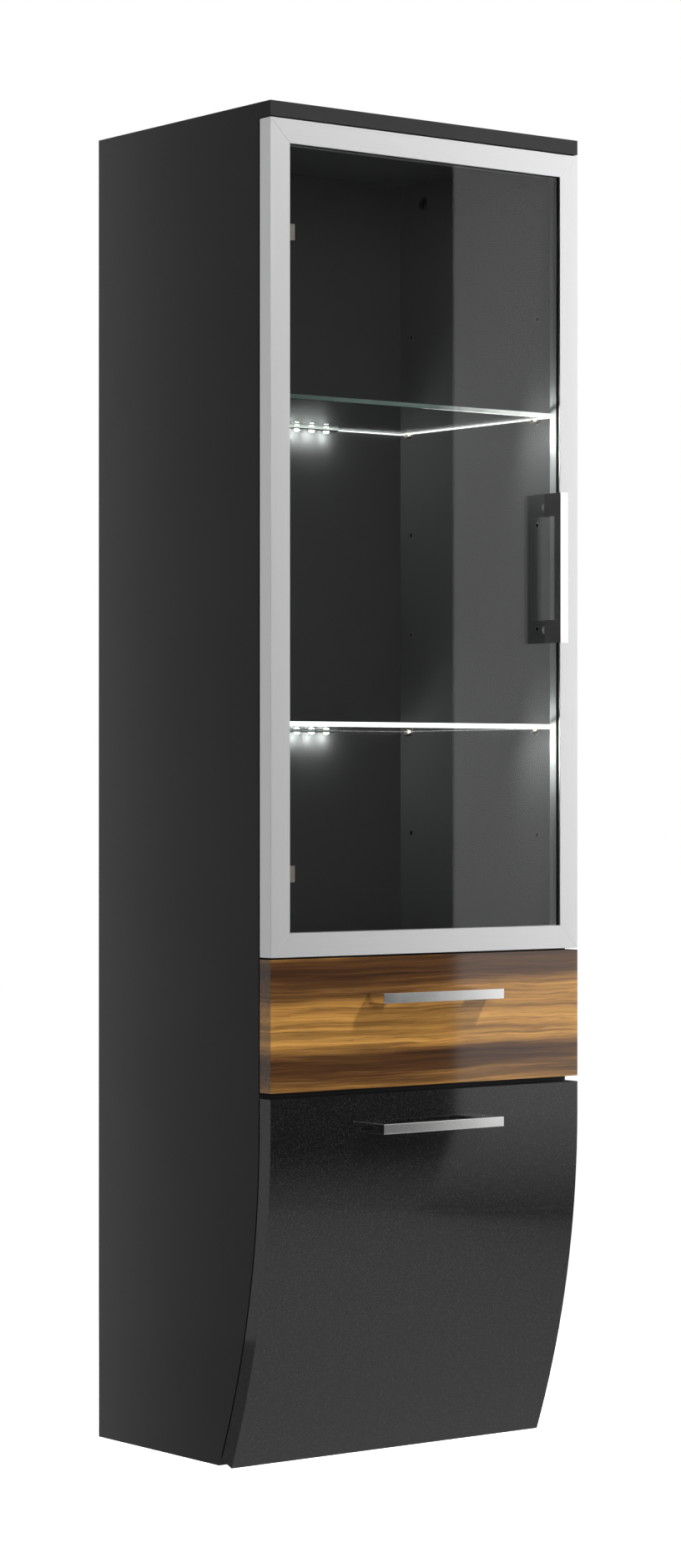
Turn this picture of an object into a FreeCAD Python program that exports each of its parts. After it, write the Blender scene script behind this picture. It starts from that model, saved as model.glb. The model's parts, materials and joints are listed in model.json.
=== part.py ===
import FreeCAD, Part
import os
import re
import Sketcher
from FreeCAD import Placement, Rotation, Vector

# Wall-hung display cabinet: glass door over a drawer over a curved drop-down flap.
# Frame: x to the right, y towards the wall, z up. The origin is on the wall plane,
# at the middle of the width and at the level of the underside. Fronts face -y.

cells = {
    # whole cabinet
    "width": 400, "depth": 304, "height": 1360, "board": 15,
    "front_thick": 18, "front_gap": 2, "top_gap": 1.5, "door_gap": 2, "flap_gap": 6, "overcut": 1,
    "drawer_height": 132, "flap_height": 373, "belly_drop": 29, "belly_radius": 932,
    # back panel in its grooves
    "back_thick": 3, "back_setback": 19, "groove_depth": 5, "groove_play": 0.2, "back_play": 0.5,
    # knock-down fittings and dowels
    "cam_radius": 7.5, "cam_length": 12, "cam_sink": 0.3, "cam_offset": 24, "cam_play": 0.1,
    "bolt_depth": 10, "thread_radius": 2.5, "shank_radius": 3, "neck_radius": 1.8, "bolt_play": 0.5,
    "bolt_neck": 4, "bolt_head_half": 2,
    "dowel_radius": 4, "dowel_length": 30, "dowel_depth": 10, "dowel_play": 0.5,
    "cam_inset": 50, "dowel_inset": 25, "rear_cam_inset": 40, "rear_dowel_inset": 15,
    # shelves, their pins and the lights on them
    "shelf_thick": 5, "shelf_play": 1, "shelf_setback": 5, "shelf_back_gap": 3,
    "pin_radius": 2.5, "pin_rise": 111.5, "pin_pitch": 109, "pin_top_margin": 100,
    "pin_depth": 8, "pin_reach": 8, "pin_front_inset": 29, "pin_back_inset": 19, "pin_chamfer": 0.5,
    "clip_length": 66, "clip_shift": 56, "clip_wall": 1.6, "clip_bite": 10, "clip_play": 0.1,
    "clip_back_gap": 0.4, "lens_radius": 3, "lens_pitch": 20, "lens_rise": 2,
    # glass door
    "stile_width": 24, "wall": 1.8, "glass_thick": 4, "glass_recess": 3, "seal_thick": 1,
    "glass_bite": 5, "chamber_play": 0.1, "bracket_leg": 45, "glass_hole_play": 0.4,
    # door and flap hinges
    "hinge_low_inset": 82, "hinge_high_inset": 108.5, "flap_hinge_inset": 70,
    "hinge_half": 8.25, "hinge_play": 0.35, "pivot_edge": 5.5, "knuckle_radius": 3.4,
    "hinge_pin_radius": 1.5, "hinge_pin_play": 0.05, "neck_half": 2, "lug_thick": 2, "lug_wall": 1,
    "plate_thick": 4, "plate_half": 24, "plate_deep": 34, "plate_setback": 22, "plate_screw_pitch": 32,
    "arm_wide": 13, "nose_wide": 25, "nose_deep": 16, "neck_offset": 1, "flap_plate_setback": 6,
    "mortise_floor": 2.5, "mortise_up": 27, "web_thick": 1.8, "lug_below": 3, "lug_above": 10,
    "bracket_deep": 11,
    # bow handles, all three the same
    "handle_length": 156, "handle_thick": 10, "handle_reach": 26, "handle_bar": 10, "handle_end": 24,
    "handle_screw_pitch": 128, "handle_screw_radius": 2, "handle_screw_bite": 9, "screw_head_radius": 4,
    "screw_head_thick": 2.4, "washer_thick": 0.5, "washer_radius": 4.6,
    "drawer_handle_drop": 41, "flap_handle_drop": 34, "door_handle_drop": 18.75,
    "door_handle_inset": 9.5, "seat_play": 0.3,
    # drawer box
    "runner_space": 12.5, "drawer_board": 12, "box_depth": 245, "box_rise": 8.5, "box_height": 88,
    "bottom_thick": 3, "bottom_rise": 4, "box_groove": 5, "box_play": 0.3,
    "box_dowel_radius": 3, "box_dowel_length": 24, "box_dowel_depth": 8, "box_dowel_inset": 22,
    "rail_front_gap": 2, "rail_screw_bite": 10, "rail_head_radius": 2.8, "rail_head_thick": 1,
    # roller runners
    "steel": 1.2, "runner_rise": 2.5, "roller_wide": 7, "roller_play": 0.3, "axle_radius": 2.5,
    "axle_play": 0.06, "rear_roller_radius": 9.4, "front_roller_radius": 10.4, "runner_setback": 2,
    "roller_setback": 15, "rear_roller_inset": 13, "flange_reach": 9, "lip_length": 8,
    "roller_side_play": 0.5, "roller_chamfer": 0.6, "runner_screw_front": 45, "runner_screw_rear": 60,
    # small screws, bumpers, hangers and grommet
    "screw_radius": 1.75, "screw_length": 13, "screw_tip": 2, "flat_head_radius": 3.4,
    "flat_head_thick": 1.8,
    "bumper_radius": 4, "bumper_thick": 1.7, "bumper_inset": 7.5, "bumper_end": 30,
    "hanger_wide": 13, "hanger_deep": 16, "hanger_tall": 52, "hanger_drop": 12, "hanger_wall": 1.5,
    "hanger_gap": 1, "hanger_screw_inset": 12, "hook_thick": 2.5, "hook_wide": 5, "hook_rise": 14,
    "hook_lip": 10, "grommet_radius": 12, "grommet_wall": 1.5, "grommet_flange": 3, "grommet_drop": 60,
    "grommet_side": 150, "grommet_lip": 1.2, "grommet_tail": 2,
}

# Sizes worked out from the cells; each name stands for its text in any expression below.
derived = {
    "half": "width/2", "inner": "width/2 - board",
    "face": "-depth", "front_back": "-depth + front_thick",
    "side_front": "-depth + front_thick + front_gap",
    "back_front": "-back_setback - back_thick",
    "under_top": "height - board", "door_top": "height - board - top_gap",
    "drawer_bottom": "flap_height + flap_gap", "drawer_top": "drawer_bottom + drawer_height",
    "door_bottom": "drawer_top + door_gap", "upper_mid": "door_bottom - door_gap/2",
    "lower_mid": "flap_height + flap_gap/2", "belly_height": "flap_height - belly_drop",
    "belly_centre": "-depth + belly_radius", "flap_back_radius": "belly_radius - front_thick",
    "side_radius": "belly_radius - front_thick - front_gap",
    "base_front": "belly_centre - sqrt(side_radius^2 - belly_height^2)",
    "pin_first": "upper_mid + board/2 + pin_rise",
    "groove_deep": "glass_bite + seal_thick", "glass_front": "-depth + glass_recess",
    "glass_back": "glass_front + glass_thick", "groove_front": "glass_front - seal_thick",
    "groove_back": "glass_back + seal_thick", "glass_half": "half - stile_width + glass_bite",
    "hinge_low": "door_bottom + hinge_low_inset", "hinge_high": "door_top - hinge_high_inset",
    "pivot_x": "-half + pivot_edge", "pivot_y": "-depth + front_thick/2",
    "mid_radius": "belly_radius - front_thick/2",
    "pivot_angle": "asin(belly_height/belly_radius) - pivot_edge/mid_radius*1 rad",
    "flap_pivot_y": "belly_centre - mid_radius*cos(pivot_angle)",
    "flap_pivot_z": "belly_height - mid_radius*sin(pivot_angle)",
    "drawer_handle_z": "drawer_top - drawer_handle_drop",
    "flap_handle_z": "flap_height - flap_handle_drop",
    "door_handle_z": "(door_bottom + door_top)/2 - door_handle_drop",
    "door_handle_x": "half - stile_width - door_handle_inset - handle_thick/2",
    "box_half": "inner - runner_space", "box_bottom": "lower_mid + board/2 + box_rise",
    "box_top": "box_bottom + box_height", "box_inner": "box_half - drawer_board",
    "box_rear": "front_back + box_depth", "tray_bottom": "box_bottom + bottom_rise",
    "runner_bottom": "lower_mid + board/2 + runner_rise", "runner_front": "side_front + runner_setback",
    "runner_inside": "2*rear_roller_radius + 2*roller_play",
    "runner_top": "runner_bottom + 2*steel + runner_inside",
    "rear_roller_z": "runner_bottom + steel + roller_play + rear_roller_radius",
    "rail_under": "runner_top + roller_play",
    "front_roller_z": "rail_under - roller_play - front_roller_radius",
    "front_roller_y": "side_front + roller_setback", "rear_roller_y": "box_rear - rear_roller_inset",
    "roller_centre": "inner - steel - roller_side_play - roller_wide/2",
}

doc = FreeCAD.newDocument("wall_display_cabinet")
sheet = doc.addObject("Spreadsheet::Sheet", "Sizes")
for row, (word, number) in enumerate(cells.items(), start=1):
    sheet.set("A%d" % row, word)
    sheet.set("B%d" % row, str(number))
    sheet.setAlias("B%d" % row, word)
doc.recompute()

nodes = []
X, Y, Z = (1, 0, 0), (0, 1, 0), (0, 0, 1)


def tied(text):
    """Name the sheet before each alias, and write out each derived size."""
    def swap(match):
        name = match.group()
        if name in derived:
            return "(" + tied(derived[name]) + ")"
        return "Sizes." + name if name in cells else name
    return re.sub(r"[A-Za-z_][A-Za-z_0-9]*", swap, text)


def number_of(text):
    """The present value of an expression on the sheet."""
    result = sheet.evalExpression(tied(text))
    return float(getattr(result, "Value", result))


def bind(item, **sizes):
    for name, text in sizes.items():
        item.setExpression(name, tied(text))


def place(item, at, direction=None):
    """Tie an object's place to the sheet, with its own z turned to a direction."""
    if direction:
        item.Placement = Placement(Vector(), Rotation(Vector(0, 0, 1), Vector(*direction)))
    for letter, text in zip("xyz", at):
        item.setExpression("Placement.Base." + letter, tied(text))
    return item


def flip(direction):
    return tuple(-step for step in direction)


def shift(at, direction, amount):
    """A place moved by an amount along a direction of -1, 0 and 1 steps."""
    signs = {0: "%s", 1: "%s + (" + amount + ")", -1: "%s - (" + amount + ")"}
    return tuple(signs[step] % text for text, step in zip(at, direction))


def block(x, y, z):
    """A box between low and high limits along each axis."""
    item = doc.addObject("Part::Box", "Block")
    for size, (low, high) in zip(("Length", "Width", "Height"), (x, y, z)):
        item.setExpression(size, tied("(%s) - (%s)" % (high, low)))
    return place(item, (x[0], y[0], z[0]))


def around(middle, reach):
    """Limits that lie the same distance each side of a middle."""
    return ("(%s) - (%s)" % (middle, reach), "(%s) + (%s)" % (middle, reach))


def sides(sign, near, far):
    """Limits between two distances from the middle, on the right (1) or the left (-1)."""
    return (near, far) if sign > 0 else ("-(%s)" % far, "-(%s)" % near)


def rod(at, direction, radius, length):
    item = doc.addObject("Part::Cylinder", "Rod")
    bind(item, Radius=radius, Height=length)
    return place(item, at, direction)


def join(kind, items):
    item = doc.addObject(kind, "Join")
    if kind == "Part::Compound":
        item.Links = items
    else:
        item.Shapes = items
    return item


def fuse(items):
    return items[0] if len(items) == 1 else join("Part::MultiFuse", items)


def cut(base, tools):
    item = doc.addObject("Part::Cut", "Cut")
    item.Base = base
    item.Tool = fuse(tools)
    return item


def common(base, tool):
    item = doc.addObject("Part::Common", "Common")
    item.Base = base
    item.Tool = tool
    return item


def node(label, items):
    """Keep an object, or a group of separate solids, as one sub-part."""
    item = items if not isinstance(items, list) else join("Part::Compound", items)
    item.Label = label
    nodes.append(item)
    return item


def sketch_on(body, role, loops):
    """Draw closed outlines; a third text in a point is the radius of the arc to the next."""
    sketch = body.newObject("Sketcher::SketchObject", "Sketch")
    plane = [feature for feature in body.Origin.OriginFeatures if feature.Role == role][0]
    sketch.AttachmentSupport = [(plane, "")]
    sketch.MapMode = "FlatFace"
    for points in loops:
        places = [Vector(number_of(point[0]), number_of(point[1]), 0) for point in points]
        first = sketch.GeometryCount
        for index, point in enumerate(points):
            start, end = places[index], places[(index + 1) % len(points)]
            if len(point) == 3:
                sketch.addGeometry(arc_between(start, end, number_of(point[2])), False)
            else:
                sketch.addGeometry(Part.LineSegment(start, end), False)
        ends = [edge_ends(sketch, first + index, places[index]) for index in range(len(points))]
        for index, point in enumerate(points):
            after = (index + 1) % len(points)
            sketch.addConstraint(Sketcher.Constraint(
                "Coincident", first + index, ends[index][1], first + after, ends[after][0]))
            for kind, text in (("DistanceX", point[0]), ("DistanceY", point[1])):
                tie = sketch.addConstraint(Sketcher.Constraint(
                    kind, -1, 1, first + index, ends[index][0], number_of(text)))
                sketch.setExpression("Constraints[%d]" % tie, tied(text))
            if len(point) == 3:
                tie = sketch.addConstraint(Sketcher.Constraint(
                    "Radius", first + index, abs(number_of(point[2]))))
                sketch.setExpression("Constraints[%d]" % tie, tied("abs(%s)" % point[2]))
    return sketch


def arc_between(start, end, radius):
    """An arc from start to end; a positive radius puts its centre on the left of that line."""
    chord = end - start
    rise = (radius * radius - chord.Length * chord.Length / 4) ** 0.5
    left = Vector(-chord.y, chord.x, 0).normalize()
    side = 1 if radius > 0 else -1
    centre = (start + end) * 0.5 + left * rise * side
    top = centre - left * abs(radius) * side
    return Part.Arc(start, top, end)


def edge_ends(sketch, edge, start):
    """Point numbers of a sketch edge's start and end, as the outline runs."""
    return (1, 2) if sketch.getPoint(edge, 1).distanceToPoint(start) < 1e-6 else (2, 1)


def padded(role, loops, length):
    body = doc.addObject("PartDesign::Body", "Body")
    pad = body.newObject("PartDesign::Pad", "Pad")
    pad.Profile = sketch_on(body, role, loops)
    bind(pad, Length=length)
    return body


def turned(outline):
    """A body turned about z from a half outline of radius and height."""
    body = doc.addObject("PartDesign::Body", "Turned")
    sketch = sketch_on(body, "XZ_Plane", [outline])
    spin = body.newObject("PartDesign::Revolution", "Spin")
    spin.Profile = sketch
    spin.ReferenceAxis = (sketch, ["V_Axis"])
    spin.Angle = 360
    return body


def copy_of(master, at, direction):
    link = doc.addObject("App::Link", "Copy")
    link.LinkedObject = master
    return place(link, at, direction)


# ---- fasteners, each drawn once with its head or joint plane at z = 0 ----

neck_top = "bolt_head_half + bolt_neck - cam_offset"
cam_bolt = turned([
    ("0", "bolt_depth"), ("thread_radius", "bolt_depth"), ("thread_radius", "0"), ("shank_radius", "0"),
    ("shank_radius", neck_top), ("neck_radius", neck_top),
    ("neck_radius", "bolt_head_half - cam_offset"), ("shank_radius", "bolt_head_half - cam_offset"),
    ("shank_radius", "-cam_offset - bolt_head_half"), ("0", "-cam_offset - bolt_head_half")])
raised_screw = turned([
    ("0", "flat_head_thick"), ("0.6*flat_head_radius", "flat_head_thick"), ("flat_head_radius", "0"),
    ("screw_radius", "0"), ("screw_radius", "screw_tip - screw_length"), ("0", "-screw_length")])
flush_screw = turned([
    ("0", "0"), ("flat_head_radius", "0"), ("screw_radius", "-steel"),
    ("screw_radius", "screw_tip - screw_length"), ("0", "-screw_length")])
countersink = turned([("0", "0"), ("flat_head_radius", "0"), ("screw_radius", "-steel"), ("0", "-steel")])
shelf_pin = turned([
    ("0", "pin_reach"), ("pin_radius - pin_chamfer", "pin_reach"),
    ("pin_radius", "pin_reach - pin_chamfer"),
    ("pin_radius", "-pin_depth"), ("0", "-pin_depth")])


def machine_screw(grip):
    """A pan-head screw that passes through a thickness and bites into a handle."""
    return turned([
        ("0", "screw_head_thick"), ("0.7*screw_head_radius", "screw_head_thick"),
        ("screw_head_radius", "0.4*screw_head_thick"), ("screw_head_radius", "0"),
        ("handle_screw_radius", "0"), ("handle_screw_radius", "-(%s) - handle_screw_bite" % grip),
        ("0", "-(%s) - handle_screw_bite" % grip)])


# ---- carcass boards and the fittings that hold them ----

holes = {name: [] for name in ("top", "left", "right", "bottom", "upper", "lower")}
cams, bolts, dowels, screws = [], [], [], []


def cam_joint(at, direction, open_side, board_name, other_name):
    """A cam in one board draws a bolt that is screwed into the other, at a joint plane."""
    bolts.append(copy_of(cam_bolt, at, direction))
    middle = shift(at, direction, "-cam_offset")
    cam_base = shift(middle, open_side, "board/2 - cam_sink - cam_length")
    cam = rod(cam_base, open_side, "cam_radius - cam_play", "cam_length")
    slot = rod(shift(middle, direction, "-bolt_head_half - overcut"), direction,
               "shank_radius + bolt_play", "bolt_head_half + cam_radius + 2*overcut")
    cams.append(cut(cam, [slot]))
    holes[board_name].append(rod(shift(cam_base, open_side, "-cam_sink"), open_side,
                                 "cam_radius", "cam_length + 3*cam_sink + overcut"))
    holes[board_name].append(rod(middle, direction, "shank_radius + bolt_play", "cam_offset + overcut"))
    holes[other_name].append(rod(shift(at, direction, "-overcut"), direction, "thread_radius",
                                 "bolt_depth + overcut"))


def dowel_joint(at, direction, board_name, other_name):
    """A dowel between two boards, with a little glue space at both ends of its hole."""
    base = shift(at, direction, "dowel_depth - dowel_length")
    dowels.append(rod(base, direction, "dowel_radius", "dowel_length"))
    hole_base = shift(base, direction, "-dowel_play")
    for name in (board_name, other_name):
        holes[name].append(rod(hole_base, direction, "dowel_radius", "dowel_length + 2*dowel_play"))


def screw_at(master, at, direction, board_name):
    """A screw into a carcass board, its head facing along a direction."""
    screws.append(copy_of(master, at, direction))
    holes[board_name].append(rod(at, flip(direction), "screw_radius", "screw_length"))


# boards between the sides, by the middle of their thickness, front edge and rear edge
shelf_boards = {"bottom": ("board/2", "base_front", "0"), "lower": ("lower_mid", "side_front", "back_front"),
                "upper": ("upper_mid", "side_front", "back_front")}
for sign, side_name in ((-1, "left"), (1, "right")):
    outwards = (sign, 0, 0)
    for name, (middle, front, rear) in shelf_boards.items():
        end = "%d*inner" % sign
        cam_joint((end, front + " + cam_inset", middle), outwards, (0, 0, -1), name, side_name)
        cam_joint((end, "back_front - rear_cam_inset", middle), outwards, (0, 0, -1), name, side_name)
        dowel_joint((end, front + " + dowel_inset", middle), outwards, name, side_name)
        dowel_joint((end, "back_front - rear_dowel_inset", middle), outwards, name, side_name)
    edge = "%d*(half - board/2)" % sign
    cam_joint((edge, "side_front + cam_inset", "under_top"), Z, (-sign, 0, 0), side_name, "top")
    cam_joint((edge, "back_front - rear_cam_inset", "under_top"), Z, (-sign, 0, 0), side_name, "top")
    dowel_joint((edge, "side_front + dowel_inset", "under_top"), Z, side_name, "top")
    dowel_joint((edge, "back_front - rear_dowel_inset", "under_top"), Z, side_name, "top")

# levels of shelf-pin holes: as many as the height of the glazed part takes
pin_levels = int(number_of("(under_top - pin_top_margin - pin_first)/pin_pitch")) + 1
shelf_levels = (1, pin_levels - 2)
pin_rows = ("side_front + pin_front_inset", "back_front - pin_back_inset")
pins = []
for sign, side_name in ((-1, "left"), (1, "right")):
    for level in range(pin_levels):
        for row_y in pin_rows:
            at = ("%d*inner" % sign, row_y, "pin_first + %d*pin_pitch" % level)
            holes[side_name].append(rod(at, (sign, 0, 0), "pin_radius", "pin_depth"))
            if level in shelf_levels:
                pins.append(copy_of(shelf_pin, at, (-sign, 0, 0)))

# ---- hinge parts on the carcass ----

hinge_plates, door_arms, flap_arms = [], [], []
door_brackets, door_pins, flap_brackets, flap_pins, mortises = [], [], [], [], []
hinge_heights = ("hinge_low", "hinge_high")
flap_hinges = ("flap_hinge_inset - inner", "inner - flap_hinge_inset")

for height in hinge_heights:
    plate_y = ("side_front + plate_setback", "side_front + plate_setback + plate_deep")
    plate_mid = "side_front + plate_setback + plate_deep/2"
    plate = block(("-inner", "-inner + plate_thick"), plate_y, around(height, "plate_half"))
    plate_holes = []
    for step in (-1, 1):
        at = ("-inner", plate_mid, "%s + %d*plate_screw_pitch/2" % (height, step))
        plate_holes.append(rod(at, X, "screw_radius", "plate_thick"))
        screw_at(raised_screw, shift(at, X, "plate_thick"), X, "left")
    hinge_plates.append(cut(plate, plate_holes))
    arm_x = "-inner + plate_thick"
    tall = around(height, "hinge_half")
    run_x = "-inner + neck_offset"
    arm = fuse([
        block((arm_x, arm_x + " + arm_wide"), ("side_front", plate_y[1]), tall),
        block((arm_x, arm_x + " + nose_wide"), ("side_front", "side_front + nose_deep"), tall),
        block((run_x, run_x + " + 2*neck_half"), ("pivot_y", "side_front + nose_deep"), tall),
        block(("pivot_x", run_x + " + 0.8*neck_half"),
              ("groove_back + hinge_play", "pivot_y + neck_half"), tall),
        rod(("pivot_x", "pivot_y", height + " - hinge_half"), Z, "knuckle_radius", "2*hinge_half")])
    bore = rod(("pivot_x", "pivot_y", height + " - hinge_half - overcut"), Z,
               "hinge_pin_radius + hinge_pin_play", "2*hinge_half + 2*overcut")
    door_arms.append(cut(arm, [bore]))

for middle in flap_hinges:
    plate_y = ("base_front + flap_plate_setback", "base_front + flap_plate_setback + plate_deep")
    plate_mid = "base_front + flap_plate_setback + plate_deep/2"
    plate = block(around(middle, "plate_half"), plate_y, ("board", "board + plate_thick"))
    plate_holes = []
    for step in (-1, 1):
        at = ("%s + %d*plate_screw_pitch/2" % (middle, step), plate_mid, "board")
        plate_holes.append(rod(at, Z, "screw_radius", "plate_thick"))
        screw_at(raised_screw, shift(at, Z, "plate_thick"), Z, "bottom")
    hinge_plates.append(cut(plate, plate_holes))
    wide = around(middle, "hinge_half")
    drop_y, arm_top = "base_front - front_gap", "board + 3*plate_thick"
    arm = fuse([
        block(wide, (drop_y + " - 2*neck_half", plate_y[1]), ("board + plate_thick", arm_top)),
        block(wide, (drop_y + " - 2*neck_half", drop_y), ("flap_pivot_z - neck_half", arm_top)),
        block(wide, ("flap_pivot_y", drop_y), around("flap_pivot_z", "neck_half")),
        rod((wide[0], "flap_pivot_y", "flap_pivot_z"), X, "knuckle_radius", "2*hinge_half")])
    bore = rod((middle + " - hinge_half - overcut", "flap_pivot_y", "flap_pivot_z"), X,
               "hinge_pin_radius + hinge_pin_play", "2*hinge_half + 2*overcut")
    flap_arms.append(cut(arm, [bore]))

# ---- runner channels on the sides, with their front rollers ----

channels, front_rollers, rear_rollers, rails = {}, {}, {}, {}


def roller(radius, at):
    """A nylon roller on the x axis, centred on a place."""
    bore, rim = "axle_radius + axle_play", radius + " - roller_chamfer"
    body = turned([(bore, "-roller_wide/2"), (rim, "-roller_wide/2"),
                   (radius, "roller_chamfer - roller_wide/2"), (radius, "roller_wide/2 - roller_chamfer"),
                   (rim, "roller_wide/2"), (bore, "roller_wide/2")])
    return place(body, at, X)


for sign, side_name in ((-1, "left"), (1, "right")):
    web = block(sides(sign, "inner - steel", "inner"), ("runner_front", "box_rear"),
                ("runner_bottom", "runner_top"))
    behind = "front_roller_y + front_roller_radius + lip_length"
    flange_x = sides(sign, "inner - steel - flange_reach", "inner")
    lower = block(flange_x, (behind, "box_rear"), ("runner_bottom", "runner_bottom + steel"))
    upper = block(flange_x, (behind, "box_rear"), ("runner_top - steel", "runner_top"))
    roller_x = "%d*roller_centre" % sign
    axle = rod(("%d*inner" % sign, "front_roller_y", "front_roller_z"), (-sign, 0, 0),
               "axle_radius", "steel + 2*roller_side_play + roller_wide")
    channel = fuse([web, lower, upper, axle])
    channel_holes = []
    for hole_y in ("front_roller_y + runner_screw_front", "box_rear - runner_screw_rear"):
        at = ("%d*(inner - steel)" % sign, hole_y, "(runner_bottom + runner_top)/2")
        channel_holes.append(copy_of(countersink, at, (-sign, 0, 0)))
        screw_at(flush_screw, at, (-sign, 0, 0), side_name)
    channels[side_name] = cut(channel, channel_holes)
    front_rollers[side_name] = roller("front_roller_radius", (roller_x, "front_roller_y", "front_roller_z"))
    rear_rollers[side_name] = roller("rear_roller_radius", (roller_x, "rear_roller_y", "rear_roller_z"))

# ---- hangers behind the back panel ----

hanger_top = "under_top - hanger_drop"
plate_back = "-hanger_deep - hanger_gap + hanger_wall"
hanger_bodies, hanger_hooks = [], []
for sign, side_name in ((-1, "left"), (1, "right")):
    outer = block(sides(sign, "inner - hanger_wide", "inner"), ("-hanger_deep - hanger_gap", "-hanger_gap"),
                  (hanger_top + " - hanger_tall", hanger_top))
    hollow = block(sides(sign, "inner - hanger_wide + hanger_wall", "inner - hanger_wall"),
                   (plate_back, "0"),
                   (hanger_top + " - hanger_tall + hanger_wall", hanger_top + " - hanger_wall"))
    screw_y = "-hanger_deep/2 - hanger_gap"
    hanger_holes = []
    for drop in ("hanger_screw_inset", "hanger_tall - hanger_screw_inset"):
        at = ("%d*(inner - hanger_wall)" % sign, screw_y, hanger_top + " - " + drop)
        hanger_holes.append(rod(at, (sign, 0, 0), "screw_radius", "hanger_wall"))
        screw_at(raised_screw, at, (-sign, 0, 0), side_name)
    hanger_bodies.append(cut(outer, [hollow] + hanger_holes))
    hook_x = around("%d*(inner - hanger_wide/2 - hanger_wall)" % sign, "hook_wide/2")
    hook_top = hanger_top + " - hanger_tall/2 + hook_rise"
    hanger_hooks.append(fuse([
        block(hook_x, (plate_back, plate_back + " + hook_thick"), (hook_top + " - 2*hook_rise", hook_top)),
        block(hook_x, (plate_back, "-hanger_gap"), (hook_top + " - hook_thick", hook_top)),
        block(hook_x, ("-hanger_gap - hook_thick", "-hanger_gap"), (hook_top + " - hook_lip", hook_top))]))

# ---- carcass sub-parts ----

side_outline = [("base_front", "0"), ("0", "0"), ("0", "under_top"), ("side_front", "under_top"),
                ("side_front", "belly_height", "side_radius")]
groove_y = ("back_front - groove_play/2", "-back_setback + groove_play/2")
for sign, side_name in ((-1, "left"), (1, "right")):
    side = place(padded("YZ_Plane", [side_outline], "board"),
                 ("-half" if sign < 0 else "inner", "0", "0"))
    groove = block(sides(sign, "inner", "inner + groove_depth"), groove_y, ("0", "under_top"))
    node(side_name + "_side", cut(side, [groove] + holes[side_name]))

top_groove = block(("-inner - groove_depth", "inner + groove_depth"), groove_y,
                   ("under_top", "under_top + groove_depth"))
node("top_panel", cut(block(("-half", "half"), ("face", "0"), ("under_top", "height")),
                      [top_groove] + holes["top"]))
holes["bottom"].append(block(("-inner - overcut", "inner + overcut"), groove_y,
                             ("board - groove_depth", "board + overcut")))
for name, label in (("bottom", "bottom_panel"), ("lower", "lower_divider"), ("upper", "upper_divider")):
    middle, front, rear = shelf_boards[name]
    panel = block(("-inner", "inner"), (front, rear), around(middle, "board/2"))
    node(label, cut(panel, holes[name]))

grommet_at = ("-grommet_side", "back_front", "under_top - grommet_drop")
back = block(("-inner - groove_depth + back_play", "inner + groove_depth - back_play"),
             ("back_front", "-back_setback"),
             ("board - groove_depth + back_play", "under_top + groove_depth - back_play"))
node("back_panel", cut(back, [rod(grommet_at, Y, "grommet_radius", "back_thick")]))
grommet = fuse([rod(shift(grommet_at, Y, "-grommet_lip"), Y, "grommet_radius + grommet_flange",
                    "grommet_lip"),
                rod(grommet_at, Y, "grommet_radius", "back_thick + grommet_tail")])
grommet_bore = rod(shift(grommet_at, Y, "-grommet_lip - overcut"), Y, "grommet_radius - grommet_wall",
                   "grommet_lip + back_thick + grommet_tail + 2*overcut")
node("cable_grommet", cut(grommet, [grommet_bore]))

shelf_y = ("side_front + shelf_setback", "back_front - shelf_back_gap")
clips, lenses = [], []
for label, level in zip(("glass_shelf_lower", "glass_shelf_upper"), shelf_levels):
    low = "(pin_first + %d*pin_pitch + pin_radius)" % level
    node(label, place(block(("shelf_play - inner", "inner - shelf_play"), shelf_y,
                            (low, low + " + shelf_thick")), ("shelf_play - inner", shelf_y[0], low)))
    clip_front = "back_front - shelf_back_gap - clip_bite"
    clip = block(around("clip_shift", "clip_length/2"), (clip_front, "back_front - clip_back_gap"),
                 (low + " - clip_play - clip_wall", low + " + shelf_thick + clip_play + clip_wall"))
    slot = block(around("clip_shift", "clip_length/2 + overcut"),
                 (clip_front + " - overcut", "back_front - shelf_back_gap + clip_play"),
                 (low + " - clip_play", low + " + shelf_thick + clip_play"))
    clips.append(cut(clip, [slot]))
    for step in (-1, 0, 1):
        lens_at = ("clip_shift + %d*lens_pitch" % step, clip_front + " + clip_bite/2",
                   low + " - clip_play - clip_wall")
        lens = turned([("0", "lens_rise"), ("0.6*lens_radius", "0.9*lens_rise"),
                       ("0.9*lens_radius", "0.5*lens_rise"), ("lens_radius", "0"), ("0", "0")])
        lenses.append(place(lens, lens_at, flip(Z)))

node("cam_locks", cams)
node("cam_bolts", bolts)
node("wood_dowels", dowels)
node("shelf_pins", pins)
node("led_clips", clips)
node("led_lenses", lenses)
node("hinge_plates", hinge_plates)
node("door_hinge_arms", door_arms)
node("flap_hinge_arms", flap_arms)
node("carcass_screws", screws)
node("hanger_bodies", hanger_bodies)
node("hanger_hooks", hanger_hooks)
for side_name in ("left", "right"):
    node(side_name + "_runner_channel", channels[side_name])
    node("front_%s_roller" % side_name, front_rollers[side_name])
    node("rear_%s_roller" % side_name, rear_rollers[side_name])

# ---- glass door: mitred hollow frame, seal, glass, handle and its half of the hinges ----


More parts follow.
